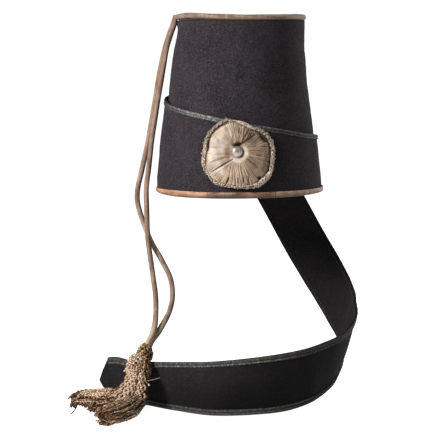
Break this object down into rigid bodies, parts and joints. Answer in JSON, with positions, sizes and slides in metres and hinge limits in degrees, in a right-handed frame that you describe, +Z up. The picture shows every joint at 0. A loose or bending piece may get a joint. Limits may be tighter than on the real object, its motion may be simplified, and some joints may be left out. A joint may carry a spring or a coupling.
{
  "type": "winged cap",
  "caption": "Stiff felt cone cap with a braided cloth wing wound round it and hanging free as a long tail, a pleated cockade and a tasselled cord.",
  "frame": {"origin": "centre of the head opening, level with the lower edge of its leather binding", "axes": "+Z up through the crown, -Y towards the cockade at the front, +X to the side where the tail hangs in its loop"},
  "size_m": [0.3452, 0.2915, 0.464],
  "materials": {
    "felt": "matt fulled wool felt, speckled charcoal",
    "wing_cloth": "matt fulled wool cloth, charcoal",
    "leather": "worn tan leather",
    "braid": "flat grey-green wool braid",
    "cord": "tan twisted cord",
    "silver_ribbon": "tarnished silver-thread ribbon",
    "pewter": "domed pewter, dull polish",
    "bullion": "twisted metal-thread bullion, tarnished"
  },
  "bodies": {
    "root": {"crown": "felt", "crown_top": "felt", "top_cord": "cord", "rim_binding": "leather", "wing_wrap": "wing_cloth", "braid_wrap": "braid", "wing_tail": "wing_cloth", "braid_tail_upper": "braid", "braid_tail_lower": "braid", "cockade_frill": "silver_ribbon", "cockade_disc": "silver_ribbon", "cockade_button": "pewter", "cord_outer": "cord", "cord_inner": "cord", "tassel_knot": "bullion", "tassel_head": "bullion", "tassel_skirt": "bullion", "tassel_tuft": "bullion", "tassel_bundle": "bullion"}
  },
  "joints": []
}
